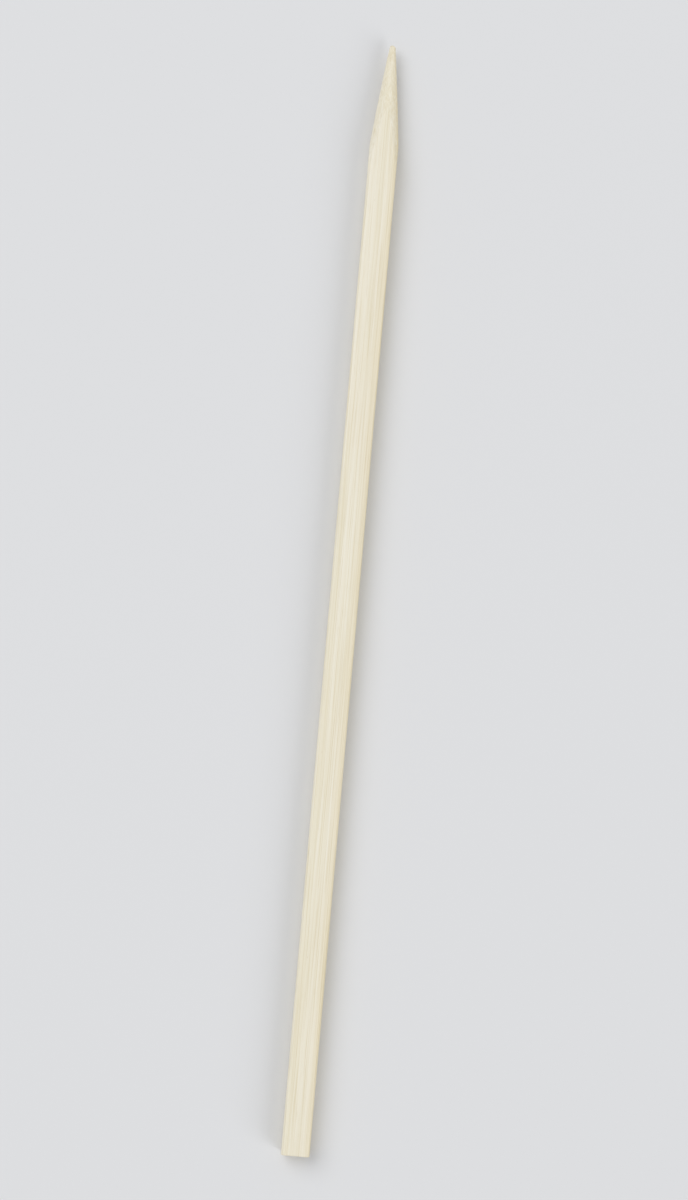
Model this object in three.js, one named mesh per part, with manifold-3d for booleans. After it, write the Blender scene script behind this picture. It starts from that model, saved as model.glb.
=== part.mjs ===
// A flat bamboo skewer: a planed rectangular stick, sawn square at one end
// and ground to a blunt point at the other, lying on its broad face.
// Millimetres. The stick runs along Y with its point towards +Y, and +Z is up.

import * as THREE from 'three';
import { mergeVertices, toCreasedNormals } from 'three/addons/utils/BufferGeometryUtils.js';
import Module from 'manifold-3d';

const wasm = await Module();
wasm.setup();

// Driving dimensions

const length = 150;
const width = 3.9;
const thickness = 3.0;

// Radius that planing and tumbling leave on the four long edges
const edgeRadius = 0.32;

// Edge break of the sawn butt
const buttBreak = 0.12;

// Ground point: from the shoulder, where the sides start to narrow, to the blunt end
const pointLength = 13.4;

// How far the ground flank bulges outside the straight line from shoulder to tip
const flankBelly = 0.05;

// Blunt end: its radius, its height, and how full its dome is (0 a cone, 1 nearly flat)
const tipRadius = 0.42;
const tipCap = 0.34;
const tipFullness = 0.92;

// Facets
const edgeSteps = 5;
const buttSteps = 2;
const flankSteps = 14;
const turnSteps = 96;

// Room by which a cutting body runs past what it cuts
const overrun = 2;

// Corners closer than this are one corner
const weldDistance = 1e-4;

// Sharper bends than this stay crisp when the surface is shaded
const creaseAngle = THREE.MathUtils.degToRad(20);

const bamboo = new THREE.MeshStandardMaterial({
  name: 'bamboo',
  color: 0xe6dfc4,
  roughness: 0.78,
  metalness: 0,
});

// Turns a three.js geometry into a closed solid that can be cut
function toSolid(geometry) {
  const bare = geometry.clone();
  bare.deleteAttribute('normal');
  bare.deleteAttribute('uv');
  const welded = mergeVertices(bare, weldDistance);
  const corners = welded.index.array;
  const triangles = [];
  for (let i = 0; i < corners.length; i += 3) {
    const [a, b, c] = corners.slice(i, i + 3);
    if (a !== b && b !== c && c !== a) {
      triangles.push(a, b, c);
    }
  }
  const mesh = new wasm.Mesh({
    numProp: 3,
    vertProperties: new Float32Array(welded.attributes.position.array),
    triVerts: new Uint32Array(triangles),
  });
  return new wasm.Manifold(mesh);
}

// Turns a cut solid back into a three.js geometry
function toGeometry(solid) {
  const mesh = solid.getMesh();
  const geometry = new THREE.BufferGeometry();
  geometry.setAttribute('position', new THREE.BufferAttribute(mesh.vertProperties, 3));
  geometry.setIndex(new THREE.BufferAttribute(mesh.triVerts, 1));
  return toCreasedNormals(geometry, creaseAngle);
}

// Section of the stick: a rectangle whose four corners are rounded
function stickSection() {
  const x = width / 2;
  const y = thickness / 2;
  const r = edgeRadius;
  const quarter = Math.PI / 2;
  const section = new THREE.Shape();
  section.moveTo(x, -y + r);
  section.lineTo(x, y - r);
  section.absarc(x - r, y - r, r, 0, quarter);
  section.lineTo(-x + r, y);
  section.absarc(-x + r, y - r, r, quarter, 2 * quarter);
  section.lineTo(-x, -y + r);
  section.absarc(-x + r, -y + r, r, 2 * quarter, 3 * quarter);
  section.lineTo(x - r, -y);
  section.absarc(x - r, -y + r, r, 3 * quarter, 4 * quarter);
  return section;
}

// The stick before its point is ground, from the butt at y = 0 to past the tip
function plainStick() {
  const bar = new THREE.ExtrudeGeometry(stickSection(), {
    depth: length + overrun - buttBreak,
    curveSegments: edgeSteps,
    bevelEnabled: true,
    bevelThickness: buttBreak,
    bevelSize: buttBreak,
    bevelOffset: -buttBreak,
    bevelSegments: buttSteps,
  });
  bar.translate(0, 0, buttBreak);
  bar.rotateX(-Math.PI / 2);
  return bar;
}

// What the grinding wheel leaves of a stick that turns against it: a revolved
// body with slightly bellied flanks and a domed blunt end. It is wider than the
// stick's corners at the back, so that it only cuts the point.
function grindEnvelope() {
  const shoulder = length - pointLength;
  const capStart = length - tipCap;
  const slope = (width / 2 - tipRadius) / (capStart - shoulder);
  const clearRadius = Math.hypot(width, thickness) / 2 + overrun;
  const flankBack = shoulder - (clearRadius - width / 2) / slope;
  const profile = new THREE.Path();
  profile.moveTo(0, -overrun);
  profile.lineTo(clearRadius, -overrun);
  profile.lineTo(clearRadius, flankBack);
  profile.lineTo(width / 2, shoulder);
  profile.quadraticCurveTo(
    (width / 2 + tipRadius) / 2 + 2 * flankBelly,
    (shoulder + capStart) / 2,
    tipRadius,
    capStart,
  );
  profile.quadraticCurveTo(tipRadius * tipFullness, length, 0, length);
  return new THREE.LatheGeometry(profile.getPoints(flankSteps), turnSteps);
}

const skewer = new THREE.Mesh(
  toGeometry(toSolid(plainStick()).intersect(toSolid(grindEnvelope()))),
  bamboo,
);
skewer.name = 'skewer';
skewer.position.set(0, -length / 2, thickness / 2);

const part = new THREE.Group();
part.add(skewer);

export default part;
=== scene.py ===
# Looks of a flat bamboo skewer that lies on its broad face, seen from straight above.
# Metres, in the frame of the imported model: +Y towards the point, +Z up.
import itertools
import math
from typing import NamedTuple

import bpy
import numpy as np
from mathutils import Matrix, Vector
from mathutils.bvhtree import BVHTree


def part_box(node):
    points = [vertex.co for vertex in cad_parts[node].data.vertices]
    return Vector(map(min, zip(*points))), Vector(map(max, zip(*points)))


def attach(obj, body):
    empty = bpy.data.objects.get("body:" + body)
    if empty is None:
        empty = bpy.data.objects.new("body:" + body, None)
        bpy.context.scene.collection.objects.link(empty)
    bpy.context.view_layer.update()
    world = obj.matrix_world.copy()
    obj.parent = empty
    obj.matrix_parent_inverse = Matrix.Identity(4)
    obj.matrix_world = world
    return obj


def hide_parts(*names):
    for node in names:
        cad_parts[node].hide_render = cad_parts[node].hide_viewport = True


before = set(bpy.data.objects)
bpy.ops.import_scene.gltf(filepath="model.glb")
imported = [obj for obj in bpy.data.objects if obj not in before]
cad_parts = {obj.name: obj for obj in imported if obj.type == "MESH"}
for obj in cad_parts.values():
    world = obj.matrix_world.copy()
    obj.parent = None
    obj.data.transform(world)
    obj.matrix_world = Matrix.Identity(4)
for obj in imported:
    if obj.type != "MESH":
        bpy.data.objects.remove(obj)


class Noise(NamedTuple):
    """Smooth noise over the stick, with cells of that many millimetres in x, y and z."""

    seed: int
    cell: tuple


def srgb(red, green, blue):
    """A colour given as 0 to 255 sRGB values, as linear numbers with alpha."""
    linear = []
    for value in (red, green, blue):
        v = value / 255
        linear.append(v / 12.92 if v <= 0.04045 else ((v + 0.055) / 1.055) ** 2.4)
    return (*linear, 1.0)


MM = 0.001
SEED = 7

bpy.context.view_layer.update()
LOW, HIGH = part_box("skewer")
WIDTH = HIGH.x - LOW.x
THICKNESS = HIGH.z - LOW.z
LENGTH = HIGH.y - LOW.y
AXIS_X = (LOW.x + HIGH.x) / 2
AXIS_Z = (LOW.z + HIGH.z) / 2

# The ground point and the sawn butt, as the solid has them
POINT_LENGTH = 13.4 * MM
TIP_CAP = 0.34 * MM
BUTT_BREAK = 0.12 * MM

# Where the skin's points lie: so many around each ring, evenly spaced by a finer scan. The rings
# are close together at the butt and in the point, and the fine steps begin a little before it.
AROUND = 240
SCAN_DIRECTIONS = 3601
BREAK_RINGS = 5
FIRST_BODY_RINGS = (0.2 * MM, 0.4 * MM)
BODY_STEP = 0.75 * MM
POINT_STEP = 0.15 * MM
FINE_BEFORE_POINT = 3 * MM

# The powers draw the dome's rings together towards the tip, and those on the sawn butt towards
# its middle. The first ring and the last one lie just inside the solid's ends.
DOME_RINGS = 22
DOME_RING_POWER = 2
DOME_END = 0.06
INSIDE_END = 0.001 * MM
BUTT_RINGS = 40
BUTT_RING_POWER = 0.8

# Sharper bends than this stay crisp when the surface is shaded
CREASE_DEGREES = 40

# The culm's skin lay towards the lower right of the section, and its pith towards the upper left.
# The wood grows yellower over these places along that way, counted from the stick's axis. The
# yellowing is partly the skin's own colour and partly painted shade and yellow reflection on this
# side, away from the key light.
SKIN_WAY = np.array([0.57, -0.82])
SKIN_AND_SHADE_ZONE = (-0.95 * MM, 0.6 * MM)

# Fibre bundles, which stand closer together towards the skin. The distance between their rows and
# the play of each one's place are shares of the spacing.
SKIN_SPACING = 0.32 * MM
PITH_SPACING = 0.54 * MM
BUNDLE_ROW_DISTANCE = 0.85
BUNDLE_JITTER = 0.33
BUNDLE_RADIUS = (0.075 * MM, 0.13 * MM)
BUNDLE_STRENGTH = (0.45, 1)

# They wander sideways along the stick, by a share of the drift and in waves of these lengths, so
# some start outside the section, as far as the margin
BUNDLE_DRIFT = 0.12 * MM
BUNDLE_DRIFT_SHARE = (0.3, 1)
BUNDLE_WAVE = (45 * MM, 120 * MM)
BUNDLE_MARGIN = 0.3 * MM

# How far the grain leans out of the stick's length, in x and z, for each metre along it
GRAIN_SLOPE = (0.0016, 0.00096)

# Depths of the relief, all cut inwards from the solid's surface. TIP_RELIEF is that of the very
# tip, before it frays.
BETWEEN_BUNDLES = 0.014 * MM
FINE_GROOVES = 0.012 * MM
BROAD_WAVES = 0.014 * MM
EDGE_WEAR = 0.09 * MM
GRIND_MARKS = 0.008 * MM
TORN_FIBRES = 0.035 * MM
SAW_MARKS = 0.030 * MM
TIP_RELIEF = 0.014 * MM
TIP_FRAY = 0.17 * MM

# How far the wear reaches from a long edge onto its two faces, and the fraying back from the tip
EDGE_ZONE = 0.42 * MM
TIP_FRAY_ZONE = 0.9 * MM

# Over these depths below the planed faces, the point's flank passes from planed to ground
GROUND_ZONE = (0.004 * MM, 0.05 * MM)

# Over these noise values, fibres are torn out of the flank or drawn back at the tip
TORN_NOISE = (0.62, 0.9)
FRAY_NOISE = (0.2, 0.85)
FINE_STRAND_SHARE = 0.4

# Noises of the relief
GROOVES = Noise(SEED + 1, (0.11, 7, 0.11))
WAVES = Noise(SEED + 2, (0.8, 18, 0.8))
WEAR = Noise(SEED + 3, (2.2, 4.5, 1.6))
GRINDING = Noise(SEED + 4, (1.5, 0.16, 1.5))
TEARING = Noise(SEED + 5, (0.12, 1.1, 0.12))
SAWING = Noise(SEED + 6, (0.25, 5, 2))
NICKS = Noise(SEED + 7, (0.4, 1.9, 0.4))
STRANDS = Noise(SEED + 8, (0.22, 4, 0.22))
FINE_STRANDS = Noise(SEED + 9, (0.09, 2, 0.09))

# Large odd factors that mix the seed with a cell's three whole numbers, and the shifts and factors
# that then scramble the bits
CELL_FACTORS = (73856093, 19349663, 83492791)
SEED_FACTOR = 2654435761
SCRAMBLE_STEPS = ((30, 0xBF58476D1CE4E5B9), (27, 0x94D049BB133111EB))
LAST_SHIFT = 31
KEPT_BITS = 53

# Texture map: the stick's two halves as two rows, and the butt as a small island beside them.
# Their edges lie between two of the map's pixels, so that a bake leaves none of them half covered.
MAP_NAME = "OFBake"
MAP_PIXELS = 1024
ROW_LEFT = 4 / MAP_PIXELS
ROW_WIDTH = 900 / MAP_PIXELS
ROW_STARTS = (10 / MAP_PIXELS, 528 / MAP_PIXELS)
ROW_HEIGHT = 486 / MAP_PIXELS
TIP_FAN_WIDTH = 4 / MAP_PIXELS
BUTT_ISLAND = (914 / MAP_PIXELS, 12 / MAP_PIXELS)
BUTT_ISLAND_SIZE = 102 / MAP_PIXELS

# Noises of the wood's colour, in cells per millimetre in x, y and z. Most have many across the
# stick and few along it, so that they lie along its fibre.
BAND_CELLS = (1.3, 0.010, 1.3)
TONE_CELLS = (0.12, 0.03, 0.12)
STREAK_CELLS = (5.5, 0.05, 5.5)
LINE_CELLS = (13, 0.07, 13)
HAIR_CELLS = (24, 0.35, 24)
SPECK_CELLS = (8, 0.9, 8)
TORN_CELLS = (14, 0.8, 14)

# Colours of the wood
PALE_TISSUE = srgb(239, 235, 221)
CREAM_TISSUE = srgb(233, 227, 206)
WARM_TISSUE = srgb(237, 230, 213)
# Skin colour, also used as painted shade and yellow reflection on the lower right side
SKIN_AND_PAINTED_SHADE = srgb(225, 208, 163)
STREAK = srgb(221, 211, 180)
LINE = srgb(214, 201, 166)
CUT_BUNDLE = srgb(204, 187, 144)
HAIR = srgb(200, 182, 138)
SPECK = srgb(186, 162, 118)
GROUND_FLANK = srgb(228, 214, 176)
TORN_FIBRE = srgb(245, 241, 227)
END_TISSUE = srgb(221, 206, 168)
END_BUNDLE = srgb(160, 134, 90)

FLOOR_COLOUR = srgb(222, 223, 225)

# The skewer's ends in the photograph, which give its lean, and how much of the frame it fills
SKEWER_TOP_PX = (613.3, 322.0)
SKEWER_BUTT_PX = (542.0, 1131.0)
FRAME_FILL = 0.93
LENS_MM = 100
SENSOR_MM = 36
NEAR_CLIP = 0.01


def smooth_step(value, low, high):
    """0 below low, 1 above high, and a smooth rise between them."""
    t = np.clip((value - low) / (high - low), 0, 1)
    return t * t * (3 - 2 * t)


def lattice_value(cell, seed):
    """A fixed number from 0 to 1 for each whole-number cell."""
    numbers = cell.astype(np.uint64)
    key = np.uint64(seed * SEED_FACTOR + 1)
    for axis, factor in enumerate(CELL_FACTORS):
        key = key ^ (numbers[..., axis] * np.uint64(factor))
    for shift, factor in SCRAMBLE_STEPS:
        key = (key ^ (key >> np.uint64(shift))) * np.uint64(factor)
    key = key ^ (key >> np.uint64(LAST_SHIFT))
    return (key >> np.uint64(64 - KEPT_BITS)).astype(float) / 2.0**KEPT_BITS


def value_noise(points, noise):
    """The noise at each point, from 0 to 1."""
    place = points / (np.array(noise.cell) * MM)
    base = np.floor(place)
    part = place - base
    part = part * part * (3 - 2 * part)
    base = base.astype(np.int64)
    total = np.zeros(points.shape[:-1])
    for corner in itertools.product((0, 1), repeat=3):
        weight = np.prod(np.where(corner, part, 1 - part), axis=-1)
        total += weight * lattice_value(base + np.array(corner), noise.seed)
    return total


def towards_skin_and_shade(points):
    """How far each point lies from the stick's axis towards the culm's skin, the lower right side
    that gets the skin's tint and painted shade.
    """
    return (points[..., 0] - AXIS_X) * SKIN_WAY[0] + (points[..., 2] - AXIS_Z) * SKIN_WAY[1]


def make_bundles(rng):
    """The fibre bundles of the stick: centre, radius and how each one wanders. They stand in rows
    across the way to the skin."""
    reach = math.hypot(WIDTH, THICKNESS) / 2 + BUNDLE_MARGIN
    row_way = np.array([-SKIN_WAY[1], SKIN_WAY[0]])
    bundles = []
    row = -reach
    while row < reach:
        spacing = PITH_SPACING + (SKIN_SPACING - PITH_SPACING) * (row + reach) / (2 * reach)
        along = -reach + rng.uniform(0, spacing)
        while along < reach:
            jitter = rng.uniform(-BUNDLE_JITTER, BUNDLE_JITTER, 2) * spacing
            place = (row + jitter[0]) * SKIN_WAY + (along + jitter[1]) * row_way
            bundles.append(
                {
                    "x": AXIS_X + place[0],
                    "z": AXIS_Z + place[1],
                    "radius": rng.uniform(*BUNDLE_RADIUS),
                    "drift": rng.uniform(*BUNDLE_DRIFT_SHARE, 2) * BUNDLE_DRIFT,
                    "wave": rng.uniform(*BUNDLE_WAVE, 2),
                    "phase": rng.uniform(0, 2 * math.pi, 2),
                    "strength": rng.uniform(*BUNDLE_STRENGTH),
                }
            )
            along += spacing
        row += spacing * BUNDLE_ROW_DISTANCE
    return bundles


def fibre_share(points, bundles):
    """How far each point lies in a fibre bundle, from 0 to 1."""
    share = np.zeros(points.shape[:-1])
    x, y, z = np.moveaxis(points, -1, 0)
    for b in bundles:
        turn = 2 * math.pi * y[..., None] / b["wave"] + b["phase"]
        wander = b["drift"] * np.sin(turn)
        dx = x - b["x"] - wander[..., 0] - GRAIN_SLOPE[0] * y
        dz = z - b["z"] - wander[..., 1] - GRAIN_SLOPE[1] * y
        near = np.exp(-(dx * dx + dz * dz) / b["radius"] ** 2) * b["strength"]
        share = np.maximum(share, near)
    return share


def radii_at(tree, y, angles):
    """Distance from the stick's axis to its surface, in each direction, at one place along it."""
    start = Vector((AXIS_X, y, AXIS_Z))
    found = []
    for angle in angles:
        way = Vector((math.cos(angle), 0, math.sin(angle)))
        _, _, _, distance = tree.ray_cast(start, way)
        found.append(distance)
    return np.array(found)


def even_angles(tree):
    """Directions whose points lie evenly spaced around the stick's section."""
    dense = np.linspace(0, 2 * math.pi, SCAN_DIRECTIONS)
    radius = radii_at(tree, 0.0, dense)
    x, z = radius * np.cos(dense), radius * np.sin(dense)
    walked = np.concatenate([[0], np.cumsum(np.hypot(np.diff(x), np.diff(z)))])
    return np.interp(np.arange(AROUND) / AROUND * walked[-1], walked, dense)


def ring_places():
    """Places along the stick: close together at the sawn butt and in the point, wider between."""
    edge_break = BUTT_BREAK * np.linspace(0, 1, BREAK_RINGS)
    edge_break[0] = INSIDE_END
    butt = LOW.y + np.concatenate([edge_break, FIRST_BODY_RINGS])
    fine_start = HIGH.y - POINT_LENGTH - FINE_BEFORE_POINT
    body = np.arange(butt[-1] + BODY_STEP / 2, fine_start, BODY_STEP)
    flank_end = HIGH.y - TIP_CAP - POINT_STEP / 2
    flank = np.arange(body[-1] + POINT_STEP * 2, flank_end, POINT_STEP)
    dome = HIGH.y - TIP_CAP * np.linspace(1, DOME_END, DOME_RINGS) ** DOME_RING_POWER
    return np.concatenate([butt, body, flank, dome])


def solid_surface(places):
    """The solid's surface as a grid of rings by directions, and how far each point is ground."""
    tree = BVHTree.FromObject(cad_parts["skewer"], bpy.context.evaluated_depsgraph_get())
    angles = even_angles(tree)
    radius = np.array([radii_at(tree, y, angles) for y in places])
    points = np.zeros((len(places), AROUND, 3))
    points[..., 0] = AXIS_X + radius * np.cos(angles)
    points[..., 1] = places[:, None]
    points[..., 2] = AXIS_Z + radius * np.sin(angles)
    ground_away = radii_at(tree, 0.0, angles) - radius
    in_point = (places > 0)[:, None]
    return points, smooth_step(ground_away, *GROUND_ZONE) * in_point


def grid_normals(points):
    """Outward unit normals of a grid of rings by directions."""
    along = np.gradient(points, axis=0)
    around = np.roll(points, -1, axis=1) - np.roll(points, 1, axis=1)
    normal = np.cross(along, around)
    normal /= np.linalg.norm(normal, axis=-1, keepdims=True)
    outward = points - np.array([AXIS_X, 0, AXIS_Z])
    outward[..., 1] = 0
    flip = np.sign((normal * outward).sum(-1, keepdims=True))
    return normal * flip


def edge_share(points):
    """How near each point is to one of the four long edges: 0 away from them, 1 on them."""
    from_side = WIDTH / 2 - abs(points[..., 0] - AXIS_X)
    from_face = THICKNESS / 2 - abs(points[..., 2] - AXIS_Z)
    near_side = smooth_step(EDGE_ZONE - from_side, 0, EDGE_ZONE)
    near_face = smooth_step(EDGE_ZONE - from_face, 0, EDGE_ZONE)
    return near_side * near_face


def relief_depth(points, fibre, ground):
    """How deep the surface lies below the solid's at each point. The powers of the edges' noises
    keep their wear to a few places."""
    depth = BETWEEN_BUNDLES * (1 - fibre)
    depth += FINE_GROOVES * value_noise(points, GROOVES)
    depth += BROAD_WAVES * value_noise(points, WAVES)
    worn = value_noise(points, WEAR) ** 2 + value_noise(points, NICKS) ** 3
    depth += EDGE_WEAR * edge_share(points) * worn * (1 - ground)
    marks = GRIND_MARKS * value_noise(points, GRINDING)
    torn = TORN_FIBRES * smooth_step(value_noise(points, TEARING), *TORN_NOISE)
    return depth + ground * (marks + torn)


def frayed(points):
    """The points, with those of the blunt end drawn back unevenly like torn fibre ends."""
    strands = (1 - FINE_STRAND_SHARE) * value_noise(points, STRANDS)
    strands += FINE_STRAND_SHARE * value_noise(points, FINE_STRANDS)
    near_tip = smooth_step(points[..., 1], HIGH.y - TIP_FRAY_ZONE, HIGH.y - TIP_CAP / 2)
    drawn_back = TIP_FRAY * smooth_step(strands, *FRAY_NOISE) * near_tip
    return points - drawn_back[..., None] * np.array([0, 1, 0])


def butt_cap(rim, bundles):
    """Rings of points that close the sawn butt, from its rim to its middle. The saw marks are
    shallower on the hard ends of the fibre bundles."""
    middle = np.array([AXIS_X, rim[:, 1].mean(), AXIS_Z])
    shares = 1 - (np.arange(1, BUTT_RINGS) / BUTT_RINGS) ** BUTT_RING_POWER
    rings = middle + (rim - middle) * shares[:, None, None]
    points = np.concatenate([rings.reshape(-1, 3), middle[None]])
    fibre = fibre_share(points, bundles)
    points[:, 1] += SAW_MARKS * value_noise(points, SAWING) * (1 - fibre / 2)
    return points, fibre


def quads_between(first, second):
    """Faces from each of the first rings of vertex numbers to its neighbour among the second."""
    corners = [first, np.roll(first, -1, axis=1), np.roll(second, -1, axis=1), second]
    return np.stack(corners, axis=-1).reshape(-1, len(corners))


def mesh_faces(ring_count):
    """Vertex numbers of the faces: the skin, the sawn butt, the butt's middle and the tip. The
    skin's rings come first among the vertices, then the butt's, its middle and the tip."""
    rings = np.arange(ring_count * AROUND).reshape(-1, AROUND)
    cap_rings = rings.size + np.arange((BUTT_RINGS - 1) * AROUND).reshape(-1, AROUND)
    middle = rings.size + cap_rings.size
    tip = middle + 1
    skin = quads_between(rings[1:], rings[:-1])
    inwards = np.concatenate([rings[:1], cap_rings])
    cap = quads_between(inwards[:-1], inwards[1:])
    inner = cap_rings[-1]
    outer = rings[-1]
    cap_fan = np.stack([inner, np.roll(inner, -1), np.full(AROUND, middle)], axis=1)
    tip_fan = np.stack([np.roll(outer, -1), outer, np.full(AROUND, tip)], axis=1)
    return skin, cap, cap_fan, tip_fan


def ring_map(us, vs):
    """Map places of a ring of faces, from one u for each corner and its v for each face."""
    corners = [np.stack([np.full(AROUND, u), v], axis=1) for u, v in zip(us, vs)]
    return np.stack(corners, axis=1)


def row_maps(places):
    """Map places of the skin's quads and of the tip's fan, in the order of the mesh's faces."""
    split = int(np.searchsorted(places, 0.0))
    halves = ((places[0], places[split]), (places[split], places[-1]))
    columns = np.arange(AROUND)
    found = []
    for ring in range(len(places) - 1):
        row = int(ring >= split)
        start, end = halves[row]
        near, far = ROW_LEFT + (places[ring : ring + 2] - start) / (end - start) * ROW_WIDTH
        low, high = ROW_STARTS[row] + np.stack([columns, columns + 1]) / AROUND * ROW_HEIGHT
        found.append(ring_map((far, far, near, near), (low, high, high, low)))
    v = ROW_STARTS[1] + np.stack([columns + 1, columns, columns + 0.5]) / AROUND * ROW_HEIGHT
    u = ROW_LEFT + ROW_WIDTH + np.array([0, 0, TIP_FAN_WIDTH])
    return np.concatenate(found), ring_map(u, v)


def butt_map(points):
    """Map places of points on the sawn butt."""
    x = (points[..., 0] - LOW.x) / WIDTH * BUTT_ISLAND_SIZE
    z = (points[..., 2] - LOW.z) / WIDTH * BUTT_ISLAND_SIZE
    return np.stack([BUTT_ISLAND[0] + x, BUTT_ISLAND[1] + z], axis=-1)


def skewer_mesh():
    """A fine skin of the solid, with fibre relief, worn edges, a ground point and a sawn butt."""
    bundles = make_bundles(np.random.default_rng(SEED))
    places = ring_places()
    surface, ground = solid_surface(places)
    fibre = fibre_share(surface, bundles)
    depth = relief_depth(surface, fibre, ground)
    skin = frayed(surface - grid_normals(surface) * depth[..., None])
    cap, cap_fibre = butt_cap(skin[0], bundles)
    tip = frayed(np.array([[AXIS_X, HIGH.y - TIP_RELIEF, AXIS_Z]]))
    vertices = np.concatenate([skin.reshape(-1, 3), cap, tip])

    faces = mesh_faces(len(places))
    mesh = bpy.data.meshes.new("skewer_skin")
    mesh.from_pydata(vertices.tolist(), [], [face.tolist() for group in faces for face in group])

    # What the material reads at each point, in the order of the vertices: skin, sawn butt and tip
    for name, values in (
        ("fibre", np.concatenate([fibre.ravel(), cap_fibre, [0]])),
        ("ground", np.concatenate([ground.ravel(), np.zeros(len(cap)), [1]])),
        ("end_grain", np.concatenate([np.zeros(ground.size), np.ones(len(cap)), [0]])),
        # How far towards the lower right: the skin's tint, partly painted shade and yellow
        # reflection
        ("skin", smooth_step(towards_skin_and_shade(vertices), *SKIN_AND_SHADE_ZONE)),
    ):
        attribute = mesh.attributes.new(name, "FLOAT", "POINT")
        attribute.data.foreach_set("value", values.astype(np.float32))

    skin_map, tip_map = row_maps(places)
    _, cap_faces, cap_fan, _ = faces
    maps = (skin_map, butt_map(vertices[cap_faces]), butt_map(vertices[cap_fan]), tip_map)
    corners = np.concatenate([corner_map.reshape(-1) for corner_map in maps])
    layer = mesh.uv_layers.new(name=MAP_NAME)
    layer.uv.foreach_set("vector", corners.astype(np.float32))
    return mesh


class Nodes:
    """Short calls to build one material's node tree."""

    # The mix node has sockets of the same names for each kind of value, so its colour ones go by
    # number
    MIX_A, MIX_B, MIX_RESULT = 6, 7, 2

    def __init__(self, name):
        self.material = bpy.data.materials.new(name)
        self.material.use_nodes = True
        self.tree = self.material.node_tree
        self.shader = self.tree.nodes["Principled BSDF"]

    def put(self, socket, value):
        """Links another node's output to the socket, or sets a plain value on it."""
        if isinstance(value, bpy.types.NodeSocket):
            self.tree.links.new(value, socket)
        else:
            socket.default_value = value

    def place(self):
        """Where the point lies on the object."""
        return self.tree.nodes.new("ShaderNodeTexCoord").outputs["Object"]

    def attribute(self, name):
        """A value that the mesh holds for each of its points."""
        read = self.tree.nodes.new("ShaderNodeAttribute")
        read.attribute_name = name
        return read.outputs["Fac"]

    def noise(self, place, cells, detail, roughness=0.5):
        """Noise over the object, with so many cells per millimetre in x, y and z."""
        scaled = self.tree.nodes.new("ShaderNodeVectorMath")
        scaled.operation = "MULTIPLY"
        self.put(scaled.inputs[0], place)
        scaled.inputs[1].default_value = [count / MM for count in cells]
        texture = self.tree.nodes.new("ShaderNodeTexNoise")
        self.put(texture.inputs["Vector"], scaled.outputs[0])
        texture.inputs["Scale"].default_value = 1.0
        texture.inputs["Detail"].default_value = detail
        texture.inputs["Roughness"].default_value = roughness
        return texture.outputs["Fac"]

    def spread(self, value, low, high, to_low=0.0, to_high=1.0):
        """value from low..high mapped to to_low..to_high, and held outside."""
        mapped = self.tree.nodes.new("ShaderNodeMapRange")
        mapped.interpolation_type = "SMOOTHSTEP"
        self.put(mapped.inputs["Value"], value)
        mapped.inputs["From Min"].default_value = low
        mapped.inputs["From Max"].default_value = high
        mapped.inputs["To Min"].default_value = to_low
        mapped.inputs["To Max"].default_value = to_high
        return mapped.outputs["Result"]

    def math(self, operation, a, b):
        """The two values put together by one of the math node's operations."""
        result = self.tree.nodes.new("ShaderNodeMath")
        result.operation = operation
        self.put(result.inputs[0], a)
        self.put(result.inputs[1], b)
        return result.outputs[0]

    def mix(self, share, a, b):
        """Colour a turned towards colour b by the share, from 0 to 1."""
        result = self.tree.nodes.new("ShaderNodeMix")
        result.data_type = "RGBA"
        self.put(result.inputs["Factor"], share)
        self.put(result.inputs[self.MIX_A], a)
        self.put(result.inputs[self.MIX_B], b)
        return result.outputs[self.MIX_RESULT]


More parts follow.
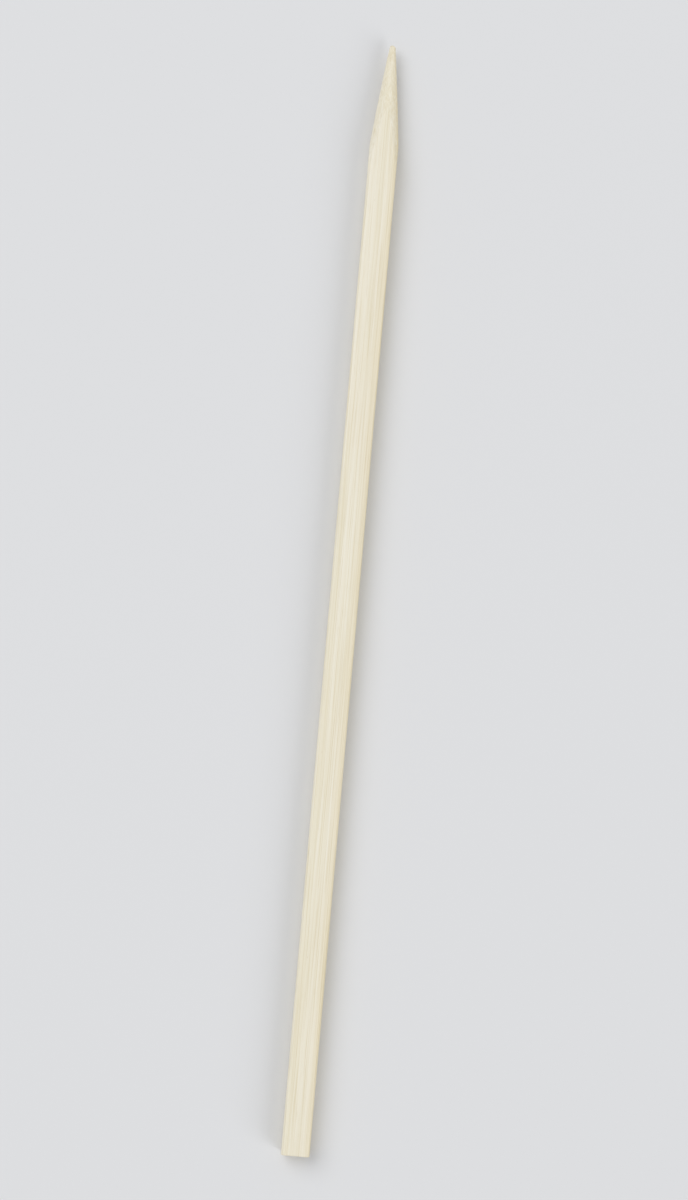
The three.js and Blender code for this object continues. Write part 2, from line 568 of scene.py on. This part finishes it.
def bamboo_material():
    """Bare planed bamboo: pale ground tissue with fine straw-coloured lines, and more of both
    colour and lines towards the culm's skin. The yellower colour there is also painted shade and
    yellow reflection on the lower right side."""
    n = Nodes("bamboo_planed")
    place = n.place()
    fibre = n.attribute("fibre")
    ground = n.attribute("ground")
    end_grain = n.attribute("end_grain")
    skin = n.attribute("skin")

    bands = n.noise(place, BAND_CELLS, detail=2)
    tone = n.noise(place, TONE_CELLS, detail=1)
    streaks = n.noise(place, STREAK_CELLS, detail=3, roughness=0.6)
    lines = n.noise(place, LINE_CELLS, detail=1)
    hairs = n.noise(place, HAIR_CELLS, detail=1)
    specks = n.noise(place, SPECK_CELLS, detail=1)
    torn = n.noise(place, TORN_CELLS, detail=1)

    # The yellower lower right side: the skin's own tint and painted shade and yellow reflection
    skin_and_painted_shade = n.math("MULTIPLY", skin, 0.7)
    bundle_strength = n.math("ADD", n.math("MULTIPLY", skin, 0.30), 0.22)
    bundle_share = n.math("MULTIPLY", fibre, bundle_strength)
    ground_share = n.math("MULTIPLY", ground, 0.06)
    torn_share = n.math("MULTIPLY", n.spread(torn, 0.50, 0.70, to_high=0.60), ground)

    colour = n.mix(n.spread(bands, 0.3, 0.7), PALE_TISSUE, CREAM_TISSUE)
    colour = n.mix(n.spread(tone, 0.3, 0.7, to_high=0.5), colour, WARM_TISSUE)
    colour = n.mix(skin_and_painted_shade, colour, SKIN_AND_PAINTED_SHADE)
    colour = n.mix(n.spread(streaks, 0.35, 0.75, to_high=0.40), colour, STREAK)
    colour = n.mix(n.spread(lines, 0.52, 0.70, to_high=0.55), colour, LINE)
    colour = n.mix(bundle_share, colour, CUT_BUNDLE)
    colour = n.mix(n.spread(hairs, 0.64, 0.80, to_high=0.40), colour, HAIR)
    colour = n.mix(n.spread(specks, 0.79, 0.86, to_high=0.5), colour, SPECK)
    colour = n.mix(ground_share, colour, GROUND_FLANK)
    colour = n.mix(torn_share, colour, TORN_FIBRE)
    ends = n.mix(n.spread(fibre, 0.15, 0.6), END_TISSUE, END_BUNDLE)
    n.put(n.shader.inputs["Base Color"], n.mix(end_grain, colour, ends))

    planed_roughness = n.spread(streaks, 0.3, 0.7, to_low=0.58, to_high=0.72)
    ground_roughness = n.math("MULTIPLY", ground, 0.1)
    roughness = n.math("ADD", planed_roughness, ground_roughness)
    n.put(n.shader.inputs["Roughness"], roughness)
    n.shader.inputs["IOR"].default_value = 1.45

    bump = n.tree.nodes.new("ShaderNodeBump")
    bump.inputs["Strength"].default_value = 0.35
    bump.inputs["Distance"].default_value = 0.02 * MM
    n.put(bump.inputs["Height"], n.math("ADD", lines, n.math("MULTIPLY", hairs, 0.6)))
    n.put(n.shader.inputs["Normal"], bump.outputs["Normal"])
    return n.material


def make_skewer():
    """The skewer's skin, which replaces the CAD solid."""
    mesh = skewer_mesh()
    mesh.shade_smooth()
    mesh.set_sharp_from_angle(angle=math.radians(CREASE_DEGREES))
    mesh.materials.append(bamboo_material())
    skewer = bpy.data.objects.new("skewer_skin", mesh)
    bpy.context.scene.collection.objects.link(skewer)
    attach(skewer, "root")
    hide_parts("skewer")


def floor_material(lit_radius, even_radius):
    """Matt and pale. Between the two distances from the object's origin, where the lamps reach
    less and less, it turns into the even tone of the backdrop."""
    n = Nodes("floor_pale")
    n.shader.inputs["Base Color"].default_value = FLOOR_COLOUR
    n.shader.inputs["Roughness"].default_value = 0.85
    n.shader.inputs["Specular IOR Level"].default_value = 0.2
    even = n.tree.nodes.new("ShaderNodeEmission")
    even.inputs["Color"].default_value = FLOOR_COLOUR
    distance = n.tree.nodes.new("ShaderNodeVectorMath")
    distance.operation = "LENGTH"
    n.put(distance.inputs[0], n.place())
    far = n.tree.nodes.new("ShaderNodeMixShader")
    n.put(far.inputs[0], n.spread(distance.outputs["Value"], lit_radius, even_radius))
    n.put(far.inputs[1], n.shader.outputs[0])
    n.put(far.inputs[2], even.outputs[0])
    n.put(n.tree.nodes["Material Output"].inputs["Surface"], far.outputs[0])
    return n.material


def make_floor():
    """A plain pale floor, a hair below the skewer so that the two never share a plane."""
    half_side = 6.0
    drop = 0.02 * MM
    signs = ((-1, -1), (1, -1), (1, 1), (-1, 1))
    corners = [(x * half_side, y * half_side, LOW.z - drop) for x, y in signs]
    mesh = bpy.data.meshes.new("floor")
    mesh.from_pydata(corners, [], [(0, 1, 2, 3)])
    mesh.materials.append(floor_material(lit_radius=0.25, even_radius=0.9))
    floor = bpy.data.objects.new("floor", mesh)
    bpy.context.scene.collection.objects.link(floor)


def area_light(name, place, size, power, colour):
    """A round soft lamp that faces the skewer."""
    data = bpy.data.lights.new(name, "AREA")
    data.shape = "DISK"
    data.size = size
    data.energy = power
    data.color = colour
    light = bpy.data.objects.new(name, data)
    light.location = place
    light.rotation_euler = (-Vector(place)).to_track_quat("-Z", "Y").to_euler()
    bpy.context.scene.collection.objects.link(light)


def make_surround():
    """An even pale light from all round. The camera sees the floor's own tone behind the floor."""
    world = bpy.data.worlds.new("surround")
    bpy.context.scene.world = world
    world.use_nodes = True
    tree = world.node_tree
    lighting = tree.nodes["Background"]
    lighting.inputs["Color"].default_value = (0.985, 0.99, 1.0, 1.0)
    lighting.inputs["Strength"].default_value = 0.52
    backdrop = tree.nodes.new("ShaderNodeBackground")
    backdrop.inputs["Color"].default_value = FLOOR_COLOUR
    backdrop.inputs["Strength"].default_value = 1.0
    rays = tree.nodes.new("ShaderNodeLightPath")
    either = tree.nodes.new("ShaderNodeMixShader")
    tree.links.new(rays.outputs["Is Camera Ray"], either.inputs[0])
    tree.links.new(lighting.outputs[0], either.inputs[1])
    tree.links.new(backdrop.outputs[0], either.inputs[2])
    tree.links.new(either.outputs[0], tree.nodes["World Output"].inputs["Surface"])


def make_lights():
    """A soft warm key from the upper left, a fill from the lower right and the surround."""
    area_light("key", place=(-1.5, 1.3, 2.3), size=2.6, power=45, colour=(1.0, 0.99, 0.975))
    area_light("fill", place=(2.5, -1.7, 1.8), size=2.4, power=44, colour=(0.99, 0.993, 1.0))
    make_surround()


def make_camera():
    """Straight above the skewer, turned so that it leans as it does in the photograph."""
    across = SKEWER_TOP_PX[0] - SKEWER_BUTT_PX[0]
    up = SKEWER_BUTT_PX[1] - SKEWER_TOP_PX[1]
    lean = math.atan2(across, up)
    seen_height = (LENGTH * math.cos(lean) + WIDTH * math.sin(lean)) / FRAME_FILL
    distance = seen_height / 2 / (SENSOR_MM / 2 / LENS_MM)
    data = bpy.data.cameras.new("camera")
    data.lens = LENS_MM
    data.sensor_width = SENSOR_MM
    data.clip_start = NEAR_CLIP
    camera = bpy.data.objects.new("camera", data)
    camera.location = (AXIS_X, (LOW.y + HIGH.y) / 2, HIGH.z + distance)
    camera.rotation_euler = (0, 0, lean)
    bpy.context.scene.collection.objects.link(camera)
    bpy.context.scene.camera = camera


make_skewer()
make_floor()
make_lights()
make_camera()
bpy.context.scene.view_settings.view_transform = "Standard"
